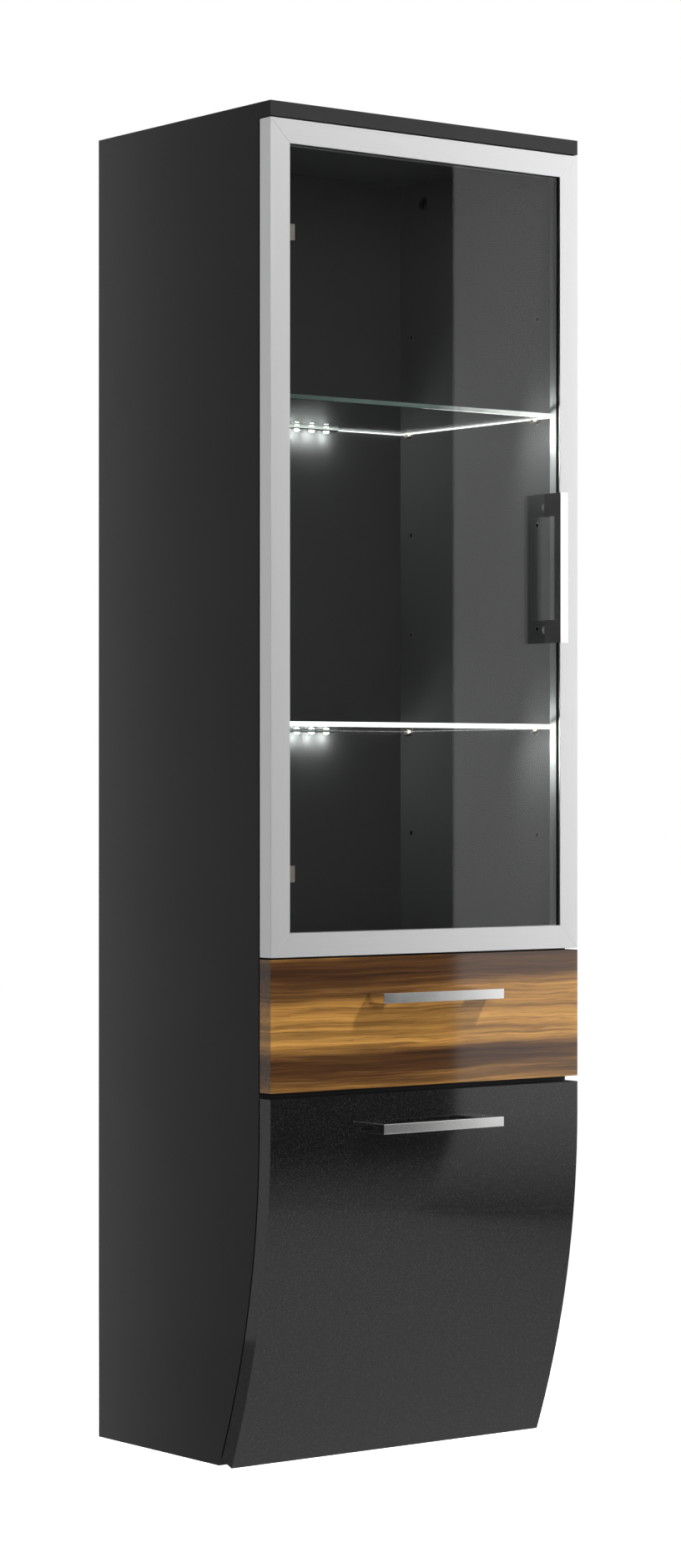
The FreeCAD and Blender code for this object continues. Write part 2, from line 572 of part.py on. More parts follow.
def frame_outline(edge):
    """Frame section across its width and depth, measured inwards from an outer edge."""
    inward = "stile_width"
    outer = [(edge + "0", "face"), (edge + inward, "face"), (edge + inward, "groove_front"),
             (edge + inward + " - groove_deep", "groove_front"),
             (edge + inward + " - groove_deep", "groove_back"),
             (edge + inward, "groove_back"), (edge + inward, "front_back"), (edge + "0", "front_back")]
    shelf = "stile_width - groove_deep - wall"
    chamber = [(edge + "wall", "face + wall"), (edge + shelf, "face + wall"),
               (edge + shelf, "groove_back + wall"), (edge + "stile_width - wall", "groove_back + wall"),
               (edge + "stile_width - wall", "front_back - wall"), (edge + "wall", "front_back - wall")]
    return [outer, chamber]


def mirrored(loops):
    return [[("-(%s)" % point[0], point[1]) for point in loop] for loop in loops]


def mitre(points):
    """A wedge as deep as the door that trims a frame member to 45 degrees."""
    return place(padded("XZ_Plane", [points], "front_thick"), ("0", "front_back", "0"))


left_loops = frame_outline("-half + ")
inset_low, inset_high = "door_bottom + stile_width", "door_top - stile_width"
stiles = {}
for side_name, loops, sign in (("left", left_loops, -1), ("right", mirrored(left_loops), 1)):
    post = place(padded("XY_Plane", loops, "door_top - door_bottom"), ("0", "0", "door_bottom"))
    out, near = "%d*half" % sign, "%d*(half - stile_width)" % sign
    stiles[side_name] = common(post, mitre([(out, "door_bottom"), (near, inset_low),
                                            (near, inset_high), (out, "door_top")]))

rails_found = {}
for label, swap_loops in (("bottom", frame_outline("door_bottom + ")),
                          ("top", [[("door_top + door_bottom - (%s)" % point[0], point[1])
                                    for point in loop] for loop in frame_outline("door_bottom + ")])):
    loops = [[(point[1], point[0]) for point in loop] for loop in swap_loops]
    bar = place(padded("YZ_Plane", loops, "width"), ("-half", "0", "0"))
    edge, near = ("door_bottom", inset_low) if label == "bottom" else ("door_top", inset_high)
    rails_found[label] = common(bar, mitre([("-half", edge), ("half", edge),
                                            ("half - stile_width", near), ("stile_width - half", near)]))

notches = []
for height in hinge_heights:
    tall = around(height, "hinge_half + hinge_play")
    notches.append(block(("-half + wall", "-half + stile_width + overcut"),
                         ("pivot_y - neck_half - hinge_play", "front_back + overcut"), tall))
    chamber_x = ("-half + wall + chamber_play", "-half + stile_width - groove_deep - wall - chamber_play")
    lug_x = (chamber_x[0], "pivot_x + knuckle_radius + lug_wall")
    front = "face + wall + chamber_play"
    lug_y = (front, "front_back - wall - chamber_play")
    reach = "hinge_half + hinge_play + lug_thick"
    pieces = [block(chamber_x, (front, front + " + web_thick"), around(height, reach))]
    for step in (-1, 1):
        ends = sorted(((height + " + %d*(hinge_half + hinge_play)" % step),
                       (height + " + %d*(%s)" % (step, reach))), key=number_of)
        pieces.append(block(lug_x, lug_y, ends))
    pin_hole = rod(("pivot_x", "pivot_y", "%s - (%s)" % (height, reach)), Z, "hinge_pin_radius",
                   "2*(%s)" % reach)
    door_brackets.append(cut(fuse(pieces), [pin_hole]))
    door_pins.append(rod(("pivot_x", "pivot_y", "%s - (%s)" % (height, reach)), Z,
                         "hinge_pin_radius", "2*(%s)" % reach))

node("door_left_stile", cut(stiles["left"], notches))
node("door_right_stile", stiles["right"])
node("door_top_rail", rails_found["top"])
node("door_bottom_rail", rails_found["bottom"])

corners = []
leg = "stile_width - groove_deep - wall - chamber_play"
for sign in (-1, 1):
    for edge, step in (("door_bottom", 1), ("door_top", -1)):
        x_near, x_far = sides(sign, "half - (%s)" % leg, "half - wall - chamber_play")
        x_leg = sides(sign, "half - bracket_leg", "half - wall - chamber_play")
        deep = ("face + wall + chamber_play", "face + wall + bracket_deep")
        near = edge + " + %d*(wall + chamber_play)" % step
        thick = sorted((near, edge + " + %d*(%s)" % (step, leg)), key=number_of)
        long = sorted((near, edge + " + %d*bracket_leg" % step), key=number_of)
        corners.append(fuse([block((x_near, x_far), deep, long), block(x_leg, deep, thick)]))
node("door_corner_brackets", corners)

glass_z = ("door_bottom + stile_width - glass_bite", "door_top - stile_width + glass_bite")
door_glass = block(("-glass_half", "glass_half"), ("glass_front", "glass_back"), glass_z)
handle_ends = ("door_handle_z - handle_screw_pitch/2", "door_handle_z + handle_screw_pitch/2")
glass_holes = [rod(("door_handle_x", "glass_front", end), Y,
                   "handle_screw_radius + glass_hole_play", "glass_thick") for end in handle_ends]
node("door_glass", cut(door_glass, glass_holes))
seal_outer = block(("-glass_half - seal_thick", "glass_half + seal_thick"), ("groove_front", "groove_back"),
                   (glass_z[0] + " - seal_thick", glass_z[1] + " + seal_thick"))
seal_window = block(("stile_width - half", "half - stile_width"),
                    ("groove_front - overcut", "groove_back + overcut"), (inset_low, inset_high))
glass_space = block(("-glass_half", "glass_half"), ("glass_front", "glass_back"), glass_z)
node("door_seal", cut(seal_outer, [seal_window, glass_space]))


def handle(middle, base_y, upright):
    """A square bow handle: a bar on two wide feet, centred on a place, standing out towards -y."""
    front = base_y + " - handle_reach"
    cross = around(middle[0] if upright else middle[1], "handle_thick/2")
    along = around(middle[1] if upright else middle[0], "handle_length/2")
    gap = around(middle[1] if upright else middle[0], "handle_length/2 - handle_end")
    wide = around(middle[0] if upright else middle[1], "handle_thick/2 + overcut")
    bar_y, gap_y = (front, base_y), (front + " + handle_bar", base_y + " + overcut")
    bar = block(cross, bar_y, along) if upright else block(along, bar_y, cross)
    gap = block(wide, gap_y, gap) if upright else block(gap, gap_y, wide)
    return cut(bar, [gap] + [rod((x, base_y, z), flip(Y), "handle_screw_radius", "handle_screw_bite")
                             for x, z in screw_places(middle, upright)])


def screw_places(middle, upright):
    steps = ("%s - handle_screw_pitch/2", "%s + handle_screw_pitch/2")
    if upright:
        return [(middle[0], step % middle[1]) for step in steps]
    return [(step % middle[0], middle[1]) for step in steps]


def handle_screws(middle, head_y, grip, upright):
    master = machine_screw(grip)
    return [copy_of(master, (x, head_y, z), Y) for x, z in screw_places(middle, upright)]


door_handle_at = ("door_handle_x", "door_handle_z")
node("door_handle", handle(door_handle_at, "glass_front - washer_thick", True))
node("door_handle_screws", handle_screws(door_handle_at, "glass_back + washer_thick",
                                         "glass_thick + 2*washer_thick", True))
washers = []
for x, z in screw_places(door_handle_at, True):
    for base in ("glass_front - washer_thick", "glass_back"):
        ring = rod((x, base, z), Y, "washer_radius", "washer_thick")
        washers.append(cut(ring, [rod((x, base, z), Y, "handle_screw_radius", "washer_thick")]))
node("door_handle_washers", washers)
node("door_hinge_brackets", door_brackets)
node("door_hinge_pins", door_pins)
node("door_bumpers", [rod(("half - bumper_inset", "front_back", z), Y, "bumper_radius", "bumper_thick")
                      for z in ("door_bottom + bumper_end", "door_top - bumper_end")])

# ---- drawer ----

drawer_middle = ("0", "drawer_handle_z")
front_holes, box_dowels = [], []
side_holes = {-1: [], 1: []}
back_holes = []
for sign in (-1, 1):
    for height in ("box_bottom + box_dowel_inset", "box_top - box_dowel_inset"):
        at = ("%d*(box_half - drawer_board/2)" % sign, "front_back - box_dowel_depth", height)
        box_dowels.append(rod(at, Y, "box_dowel_radius", "box_dowel_length"))
        front_holes.append(rod(at, Y, "box_dowel_radius", "box_dowel_depth + overcut"))
        side_holes[sign].append(rod(at, Y, "box_dowel_radius", "box_dowel_length + dowel_play"))
        at = ("%d*(box_inner + box_dowel_depth)" % sign, "box_rear - drawer_board/2", height)
        box_dowels.append(rod(at, (-sign, 0, 0), "box_dowel_radius", "box_dowel_length"))
        side_holes[sign].append(rod(at, (-sign, 0, 0), "box_dowel_radius", "box_dowel_depth + overcut"))
        back_holes.append(rod(at, (-sign, 0, 0), "box_dowel_radius", "box_dowel_length + dowel_play"))

tray_groove_z = ("tray_bottom - groove_play/2", "tray_bottom + bottom_thick + groove_play/2")
tray_groove = block(("-box_inner - box_groove", "box_inner + box_groove"),
                    ("front_back - box_groove", "box_rear - drawer_board + box_groove"), tray_groove_z)
screw_holes = [rod((x, "face", z), Y, "handle_screw_radius", "front_thick")
               for x, z in screw_places(drawer_middle, False)]
drawer_front = block(("-half", "half"), ("face", "front_back"), ("drawer_bottom", "drawer_top"))
node("drawer_front", cut(drawer_front, [tray_groove] + front_holes + screw_holes))

rail_screws = []
for sign, side_name in ((-1, "left"), (1, "right")):
    board_x = sides(sign, "box_inner", "box_half")
    side = block(board_x, ("front_back", "box_rear"), ("box_bottom", "box_top"))
    rail_y = ("front_back + rail_front_gap", "box_rear")
    web_x = sides(sign, "box_half", "box_half + steel")
    web = block(web_x, rail_y, ("box_bottom - steel", "rail_under + steel"))
    foot = block(sides(sign, "box_inner", "box_half + steel"), rail_y, ("box_bottom - steel", "box_bottom"))
    flange = block(sides(sign, "box_half", "inner - steel - 2*roller_side_play"), rail_y,
                   ("rail_under", "rail_under + steel"))
    axle = rod(("%d*box_half" % sign, "rear_roller_y", "rear_roller_z"), (sign, 0, 0), "axle_radius",
               "roller_centre + roller_wide/2 - box_half")
    rail_holes = []
    for hole_y in ("front_back + runner_screw_front", "box_rear - runner_screw_rear"):
        at = ("%d*(box_half + steel)" % sign, hole_y, "(tray_bottom + bottom_thick + rail_under)/2")
        rail_holes.append(rod(at, (-sign, 0, 0), "screw_radius", "steel"))
        side_holes[sign].append(rod(shift(at, (-sign, 0, 0), "steel"), (-sign, 0, 0),
                                    "screw_radius", "rail_screw_bite"))
        rail_screws.append(fuse([
            rod(at, (-sign, 0, 0), "screw_radius", "steel + rail_screw_bite"),
            rod(at, (sign, 0, 0), "rail_head_radius", "rail_head_thick")]))
    node("drawer_%s_rail" % side_name, cut(fuse([web, foot, flange, axle]), rail_holes))
    node("drawer_%s_side" % side_name, cut(side, [tray_groove] + side_holes[sign]))

back = block(("-box_inner", "box_inner"), ("box_rear - drawer_board", "box_rear"), ("box_bottom", "box_top"))
node("drawer_back", cut(back, [tray_groove] + back_holes))
node("drawer_bottom", block(("box_play - box_inner - box_groove", "box_inner + box_groove - box_play"),
                            ("front_back - box_groove + box_play",
                             "box_rear - drawer_board + box_groove - box_play"),
                            ("tray_bottom", "tray_bottom + bottom_thick")))
node("drawer_dowels", box_dowels)
node("drawer_rail_screws", rail_screws)
node("drawer_handle", handle(drawer_middle, "face", False))
node("drawer_handle_screws", handle_screws(drawer_middle, "front_back", "front_thick", False))
node("drawer_bumpers", [rod(("%d*(half - bumper_inset)" % sign, "front_back", "drawer_bottom + %s" % rise),
                            Y, "bumper_radius", "bumper_thick")
                        for sign in (-1, 1) for rise in ("bumper_end", "drawer_height - bumper_end")])

# ---- flap: a curved front that swings down on two hinges at its lower edge ----

outer_end = "belly_centre - sqrt(belly_radius^2 - belly_height^2)"
inner_end_y = "belly_centre - flap_back_radius*cos(asin(belly_height/belly_radius))"
inner_end_z = "belly_height - flap_back_radius*belly_height/belly_radius"
flap_outline = [("face", "flap_height"), ("face", "belly_height", "belly_radius"), (outer_end, "0"),
                (inner_end_y, inner_end_z, "-flap_back_radius"), ("front_back", "belly_height"),
                ("front_back", "flap_height")]
flap = place(padded("YZ_Plane", [flap_outline], "width"), ("-half", "0", "0"))


def tilted(item, middle):
    """Set a piece drawn about the pivot onto the flap's slope at a hinge."""
    item.Placement = Placement(Vector(), Rotation(Vector(1, 0, 0), 1))
    item.setExpression("Placement.Rotation.Angle", tied("pivot_angle"))
    return place(item, (middle, "flap_pivot_y", "flap_pivot_z"))


def wrapped(item):
    """A one-piece group, so that the piece keeps its place about the pivot."""
    return join("Part::Compound", [item])


lug_out = "hinge_half + hinge_play + lug_thick"
floor_y = "mortise_floor - front_thick/2"
for middle in flap_hinges:
    mortise = block(around("0", lug_out + " + chamber_play"), (floor_y, "front_thick/2 + overcut"),
                    ("-pivot_edge - lug_below", "mortise_up"))
    mortises.append(tilted(wrapped(mortise), middle))
    web = block(around("0", lug_out), (floor_y, floor_y + " + web_thick"),
                ("-lug_below", "mortise_up - chamber_play"))
    pieces = [web]
    for near, far in (("-(%s)" % lug_out, "-hinge_half - hinge_play"), ("hinge_half + hinge_play", lug_out)):
        pieces.append(block((near, far), (floor_y, "front_thick/2 - lug_below"),
                            ("-lug_below", "lug_above")))
    pin_start = ("-(%s)" % lug_out, "0", "0")
    bracket = cut(fuse(pieces), [rod(pin_start, X, "hinge_pin_radius", "2*(%s)" % lug_out)])
    flap_brackets.append(tilted(wrapped(bracket), middle))
    flap_pins.append(rod((middle + " - (%s)" % lug_out, "flap_pivot_y", "flap_pivot_z"), X,
                         "hinge_pin_radius", "2*(%s)" % lug_out))

flap_middle = ("0", "flap_handle_z")
screw_holes, head_seats = [], []
for x, z in screw_places(flap_middle, False):
    screw_holes.append(rod((x, "face", z), Y, "handle_screw_radius", "front_thick + overcut"))
    head_seats.append(rod((x, "front_back", z), Y, "screw_head_radius + seat_play", "screw_head_thick"))
node("flap_panel", cut(flap, mortises + screw_holes + head_seats))
node("flap_handle", handle(flap_middle, "face", False))
node("flap_handle_screws", handle_screws(flap_middle, "front_back", "front_thick", False))
node("flap_hinge_brackets", flap_brackets)
node("flap_hinge_pins", flap_pins)
node("flap_bumpers", [rod(("%d*(half - bumper_inset)" % sign, "front_back", "flap_height - belly_drop/2"),
                          Y, "bumper_radius", "bumper_thick") for sign in (-1, 1)])

# ---- check and write ----

doc.recompute()
for item in doc.Objects:
    if "Invalid" in item.State or "Error" in item.State:
        raise RuntimeError("%s (%s) failed: %s" % (item.Name, item.Label, item.State))
os.makedirs("parts", exist_ok=True)
for item in nodes:
    if item.Shape.isNull() or not item.Shape.isValid():
        raise RuntimeError(item.Label + " has no valid shape")
for item in nodes:
    item.Shape.exportStep("parts/" + item.Label + ".step")
    print(item.Label, len(item.Shape.Solids))
print(len(nodes), "sub-parts")
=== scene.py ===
import json
import math
import bmesh
import bpy
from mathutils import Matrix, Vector

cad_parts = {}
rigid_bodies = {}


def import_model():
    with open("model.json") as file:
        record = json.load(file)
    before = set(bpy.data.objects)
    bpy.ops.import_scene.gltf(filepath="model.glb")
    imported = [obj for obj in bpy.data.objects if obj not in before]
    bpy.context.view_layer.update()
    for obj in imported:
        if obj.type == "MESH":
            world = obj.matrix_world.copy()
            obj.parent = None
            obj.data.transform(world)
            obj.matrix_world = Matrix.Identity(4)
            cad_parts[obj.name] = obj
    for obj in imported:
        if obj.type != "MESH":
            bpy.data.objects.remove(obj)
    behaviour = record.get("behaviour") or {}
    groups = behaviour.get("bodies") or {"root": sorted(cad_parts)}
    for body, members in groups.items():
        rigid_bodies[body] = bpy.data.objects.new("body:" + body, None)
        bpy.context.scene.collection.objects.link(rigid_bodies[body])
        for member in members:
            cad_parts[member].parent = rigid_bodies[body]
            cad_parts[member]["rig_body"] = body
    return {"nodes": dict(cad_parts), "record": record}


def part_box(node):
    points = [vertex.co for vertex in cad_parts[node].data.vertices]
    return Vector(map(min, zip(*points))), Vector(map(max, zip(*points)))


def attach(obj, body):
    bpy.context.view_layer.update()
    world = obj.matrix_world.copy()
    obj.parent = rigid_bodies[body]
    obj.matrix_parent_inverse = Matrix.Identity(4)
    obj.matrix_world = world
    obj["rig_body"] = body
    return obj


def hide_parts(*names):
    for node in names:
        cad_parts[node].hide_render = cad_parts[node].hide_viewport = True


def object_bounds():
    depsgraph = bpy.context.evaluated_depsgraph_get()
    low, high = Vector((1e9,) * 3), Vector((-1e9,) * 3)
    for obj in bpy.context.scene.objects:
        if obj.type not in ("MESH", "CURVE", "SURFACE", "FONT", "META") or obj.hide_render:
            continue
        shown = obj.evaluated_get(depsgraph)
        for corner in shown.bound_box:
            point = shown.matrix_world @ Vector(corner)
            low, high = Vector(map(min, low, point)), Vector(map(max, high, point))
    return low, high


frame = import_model()
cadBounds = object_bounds()
nodes = frame["nodes"]
slotOf = {part["node"]: part["material_slot"] for part in frame["record"]["subparts"]}
low, high = cadBounds
scene = bpy.context.scene
print("loaded the cabinet,", len(nodes), "sub-parts")


# ways of wiring shader nodes that every finish below shares

def addNode(tree, kind, inputs=None, **settings):
    node = tree.nodes.new(kind)
    for name, value in settings.items():
        setattr(node, name, value)
    for name, value in (inputs or {}).items():
        if isinstance(value, bpy.types.NodeSocket):
            tree.links.new(value, node.inputs[name])
        else:
            node.inputs[name].default_value = value
    return node


def compute(tree, operation, first, second=0.0):
    return addNode(tree, "ShaderNodeMath", {0: first, 1: second}, operation=operation).outputs[0]


def remap(tree, value, start, end, newStart=0.0, newEnd=1.0):
    settings = {"Value": value, "From Min": start, "From Max": end, "To Min": newStart, "To Max": newEnd}
    return addNode(tree, "ShaderNodeMapRange", settings).outputs["Result"]


def ramp(tree, value, stops):
    node = addNode(tree, "ShaderNodeValToRGB", {"Fac": value})
    elements = node.color_ramp.elements
    while len(elements) < len(stops):
        elements.new(0.5)
    for element, (position, colour) in zip(elements, stops):
        element.position = position
        element.color = (*colour, 1)
    return node.outputs["Color"]


def blendColours(tree, amount, first, second):
    values = {0: amount, 6: first, 7: second}
    return addNode(tree, "ShaderNodeMix", values, data_type="RGBA").outputs[2]


def noise(tree, place, scale, detail=2.0, roughness=0.5, distortion=0.0):
    settings = {"Vector": place, "Scale": scale, "Detail": detail, "Roughness": roughness,
                "Distortion": distortion}
    return addNode(tree, "ShaderNodeTexNoise", settings).outputs["Fac"]


def combine(tree, x, y, z):
    return addNode(tree, "ShaderNodeCombineXYZ", {"X": x, "Y": y, "Z": z}).outputs[0]


def objectPlace(tree):
    return addNode(tree, "ShaderNodeTexCoord").outputs["Object"]


def stretch(tree, place, scales):
    return addNode(tree, "ShaderNodeMapping", {"Vector": place, "Scale": scales}).outputs["Vector"]


def startGroup(name, inputs, outputs):
    tree = bpy.data.node_groups.new(name, "ShaderNodeTree")
    for label, value in inputs.items():
        kind = "NodeSocketVector" if isinstance(value, tuple) else "NodeSocketFloat"
        tree.interface.new_socket(label, in_out="INPUT", socket_type=kind).default_value = value
    for label in outputs:
        tree.interface.new_socket(label, in_out="OUTPUT", socket_type="NodeSocketFloat")
    return tree, addNode(tree, "NodeGroupInput"), addNode(tree, "NodeGroupOutput")


def useGroup(tree, group, inputs):
    return addNode(tree, "ShaderNodeGroup", inputs, node_tree=group)


# effects shared by several finishes

grainNoise = {"detail": 4.0, "roughness": 0.7, "broadScale": 0.18, "fineShare": 0.7, "broadShare": 0.3}
smearNoise = {"detail": 5.0, "roughness": 0.65, "distortion": 0.6, "clean": 0.45, "smeared": 0.75}
flakeShare = 0.18


def makeBrushedGrain():
    sizes = {"stretch": (1.0, 1.0, 1.0), "depth": 0.5}
    group, given, result = startGroup("brushedGrain", sizes, ["shade", "height"])
    place = addNode(group, "ShaderNodeVectorMath", {0: objectPlace(group), 1: given.outputs["stretch"]},
                    operation="MULTIPLY").outputs[0]
    fine = noise(group, place, 1.0, grainNoise["detail"], grainNoise["roughness"])
    broad = noise(group, place, grainNoise["broadScale"])
    both = compute(group, "ADD", compute(group, "MULTIPLY", fine, grainNoise["fineShare"]),
                   compute(group, "MULTIPLY", broad, grainNoise["broadShare"]))
    centred = compute(group, "SUBTRACT", both, 0.5)
    group.links.new(compute(group, "MULTIPLY", centred, given.outputs["depth"]), result.inputs["shade"])
    group.links.new(fine, result.inputs["height"])
    return group


def makeMetalFlake():
    group, given, result = startGroup("metalFlake", {"flakeScale": 1400.0, "amount": 0.5}, ["flake"])
    cells = addNode(group, "ShaderNodeTexVoronoi",
                    {"Vector": objectPlace(group), "Scale": given.outputs["flakeScale"]})
    picked = addNode(group, "ShaderNodeSeparateColor", {"Color": cells.outputs["Color"]}).outputs["Red"]
    bright = remap(group, picked, 1.0 - flakeShare, 1.0)
    group.links.new(compute(group, "MULTIPLY", bright, given.outputs["amount"]), result.inputs["flake"])
    return group


def makeHandling():
    group, given, result = startGroup("handlingMarks", {"scale": 18.0, "strength": 0.1}, ["smear"])
    smear = noise(group, objectPlace(group), given.outputs["scale"], smearNoise["detail"],
                  smearNoise["roughness"], smearNoise["distortion"])
    marked = remap(group, smear, smearNoise["clean"], smearNoise["smeared"])
    group.links.new(compute(group, "MULTIPLY", marked, given.outputs["strength"]), result.inputs["smear"])
    return group


brushedGrain = makeBrushedGrain()
metalFlake = makeMetalFlake()
handlingMarks = makeHandling()


# finishes

def startFinish(name, **values):
    material = bpy.data.materials.new(name)
    material.use_nodes = True
    tree = material.node_tree
    shader = tree.nodes["Principled BSDF"]
    for label, value in values.items():
        socket = shader.inputs[" ".join(label.split("_"))]
        if isinstance(value, tuple):
            value = (*value, 1)
        socket.default_value = value
    return material, tree, shader


def bumpInto(tree, shader, height, strength, distance=0.0002):
    bump = addNode(tree, "ShaderNodeBump", {"Height": height, "Strength": strength, "Distance": distance})
    tree.links.new(bump.outputs["Normal"], shader.inputs["Normal"])


lacquer = {"base": (0.021, 0.0205, 0.021), "flake": (0.13, 0.13, 0.135), "coatRoughness": 0.05, "sheen": 0.12,
           "flakeScale": 1500.0, "smearScale": 7.0, "smear": 0.06,
           "board": {"shade": 1.2, "roughness": 0.42, "coat": 0.05, "flakes": 0.04},
           # inner is a paler copy of board for the faces inside the carcass: painted light
           "inner": {"shade": 3.1, "roughness": 0.42, "coat": 0.05, "flakes": 0.04},
           "back": {"shade": 1.25, "roughness": 0.5, "coat": 0.0, "flakes": 0.04},
           "flap": {"shade": 0.12, "roughness": 0.36, "coat": 1.0, "flakes": 0.22}}


def anthraciteLacquer(name, shade, roughness, coat, flakes):
    dark = tuple(value * shade for value in lacquer["base"])
    material, tree, shader = startFinish(name, Coat_Weight=coat, Coat_Roughness=lacquer["coatRoughness"],
                                         Specular_IOR_Level=lacquer["sheen"])
    sparkle = useGroup(tree, metalFlake, {"flakeScale": lacquer["flakeScale"], "amount": flakes})
    base = blendColours(tree, sparkle.outputs["flake"], (*dark, 1), (*lacquer["flake"], 1))
    marks = useGroup(tree, handlingMarks, {"scale": lacquer["smearScale"], "strength": lacquer["smear"]})
    tree.links.new(base, shader.inputs["Base Color"])
    tree.links.new(compute(tree, "ADD", marks.outputs["smear"], roughness), shader.inputs["Roughness"])
    return material


walnutVeneer = {"bandStretch": (1.1, 1.0, 42.0), "waveStretch": (6.0, 1.0, 12.0), "wave": 0.016,
                "veinStretch": (2.4, 1.0, 150.0), "veinRange": (0.54, 0.64), "veinDepth": 0.5,
                "veinColour": (0.035, 0.015, 0.006, 1),
                "threadStretch": (7.0, 300.0, 420.0), "threadRange": (0.3, 0.7), "threadDepth": 0.34,
                "poreStretch": (38.0, 900.0, 1300.0), "poreRange": (0.56, 0.66), "poreDepth": 0.3,
                "poreColour": (0.03, 0.012, 0.006, 1), "bump": 0.08,
                "paleLevel": 0.446, "paleHalf": 0.06, "paleLift": 0.14, "darkDrop": -0.08,
                "tones": [(0.30, (0.03, 0.012, 0.005)), (0.42, (0.075, 0.032, 0.010)),
                          (0.50, (0.17, 0.082, 0.024)), (0.58, (0.30, 0.145, 0.035)),
                          (0.70, (0.47, 0.24, 0.06))],
                "roughness": (0.36, 0.5), "coat": 1.0, "coatRoughness": 0.05, "sheen": 0.1}


def walnut():
    veneer = walnutVeneer
    material, tree, shader = startFinish("walnutVeneer", Coat_Weight=veneer["coat"],
                                         Coat_Roughness=veneer["coatRoughness"],
                                         Specular_IOR_Level=veneer["sheen"])
    place = objectPlace(tree)
    sway = noise(tree, stretch(tree, place, veneer["waveStretch"]), 1.0)
    lift = compute(tree, "MULTIPLY", compute(tree, "SUBTRACT", sway, 0.5), veneer["wave"])
    moved = addNode(tree, "ShaderNodeVectorMath", {0: place, 1: combine(tree, 0.0, 0.0, lift)},
                    operation="ADD").outputs[0]
    bands = noise(tree, stretch(tree, moved, veneer["bandStretch"]), 1.0, 3.0, 0.5, 0.15)
    threads = noise(tree, stretch(tree, moved, veneer["threadStretch"]), 1.0, 4.0, 0.7)
    pores = noise(tree, stretch(tree, moved, veneer["poreStretch"]), 1.0, 1.0)
    veins = noise(tree, stretch(tree, moved, veneer["veinStretch"]), 1.0, 3.0, 0.6)

    # pale along the middle of the drawer front, dark along its top and foot
    upDown = addNode(tree, "ShaderNodeSeparateXYZ", {0: moved}).outputs["Z"]
    offPale = compute(tree, "ABSOLUTE", compute(tree, "SUBTRACT", upDown, veneer["paleLevel"]))
    pale = remap(tree, offPale, 0.0, veneer["paleHalf"], veneer["paleLift"], veneer["darkDrop"])
    streaks = compute(tree, "MULTIPLY", compute(tree, "SUBTRACT", threads, 0.5), veneer["threadDepth"])
    tone = compute(tree, "ADD", compute(tree, "ADD", bands, pale), streaks)
    colour = ramp(tree, tone, veneer["tones"])
    inVein = remap(tree, veins, *veneer["veinRange"], 0.0, veneer["veinDepth"])
    colour = blendColours(tree, inVein, colour, veneer["veinColour"])
    inPore = remap(tree, pores, *veneer["poreRange"], 0.0, veneer["poreDepth"])
    colour = blendColours(tree, inPore, colour, veneer["poreColour"])
    tree.links.new(colour, shader.inputs["Base Color"])
    uneven = remap(tree, threads, *veneer["threadRange"], *veneer["roughness"])
    tree.links.new(uneven, shader.inputs["Roughness"])
    bumpInto(tree, shader, pores, veneer["bump"])
    return material


frameMetal = {"base": (0.87, 0.87, 0.875), "roughness": 0.42, "roughnessDepth": 0.5, "depth": 0.14,
              "bump": 0.06, "along": 26.0, "across": 3800.0}


def brushedFrame(name, stretchBy):
    material, tree, shader = startFinish(name, Metallic=1.0)
    grain = useGroup(tree, brushedGrain, {"stretch": stretchBy, "depth": frameMetal["depth"]})
    level = compute(tree, "ADD", grain.outputs["shade"], 1.0)
    colour = addNode(tree, "ShaderNodeVectorMath", {0: frameMetal["base"], "Scale": level}, operation="SCALE")
    tree.links.new(colour.outputs[0], shader.inputs["Base Color"])
    uneven = compute(tree, "MULTIPLY", grain.outputs["shade"], frameMetal["roughnessDepth"])
    tree.links.new(compute(tree, "ADD", uneven, frameMetal["roughness"]), shader.inputs["Roughness"])
    bumpInto(tree, shader, grain.outputs["height"], frameMetal["bump"])
    return material


polish = {"smearScale": 60.0, "smear": 0.05, "handleSmear": 0.03}


def polishedMetal(name, base, roughness, smear=polish["smear"]):
    material, tree, shader = startFinish(name, Metallic=1.0, Base_Color=base)
    marks = useGroup(tree, handlingMarks, {"scale": polish["smearScale"], "strength": smear})
    tree.links.new(compute(tree, "ADD", marks.outputs["smear"], roughness), shader.inputs["Roughness"])
    return material


plastic = {"grainScale": 900.0, "roughnessSpread": 0.06, "bump": 0.1}


def mouldedPlastic(name, base, roughness):
    material, tree, shader = startFinish(name, Base_Color=base)
    grain = noise(tree, objectPlace(tree), plastic["grainScale"])
    smooth, rough = roughness - plastic["roughnessSpread"], roughness + plastic["roughnessSpread"]
    tree.links.new(remap(tree, grain, 0.3, 0.7, smooth, rough), shader.inputs["Roughness"])
    bumpInto(tree, shader, grain, plastic["bump"])
    return material


rawWood = {"roughness": 0.55, "bump": 0.08, "bumpDistance": 0.0003, "darkEnd": 0.35, "lightEnd": 0.65}


def plainWood(name, light, dark, stretchBy):
    material, tree, shader = startFinish(name, Roughness=rawWood["roughness"])
    grain = noise(tree, stretch(tree, objectPlace(tree), stretchBy), 1.0, 4.0, 0.6, 0.2)
    stops = [(rawWood["darkEnd"], dark), (rawWood["lightEnd"], light)]
    tree.links.new(ramp(tree, grain, stops), shader.inputs["Base Color"])
    bumpInto(tree, shader, grain, rawWood["bump"], rawWood["bumpDistance"])
    return material


def clearFor(tree, shader):
    # lamps shine straight through a pane
    clear = addNode(tree, "ShaderNodeBsdfTransparent")
    path = addNode(tree, "ShaderNodeLightPath")
    pick = addNode(tree, "ShaderNodeMixShader", {0: path.outputs["Is Shadow Ray"]})
    tree.links.new(shader.outputs["BSDF"], pick.inputs[1])
    tree.links.new(clear.outputs["BSDF"], pick.inputs[2])
    tree.links.new(pick.outputs[0], tree.nodes["Material Output"].inputs["Surface"])


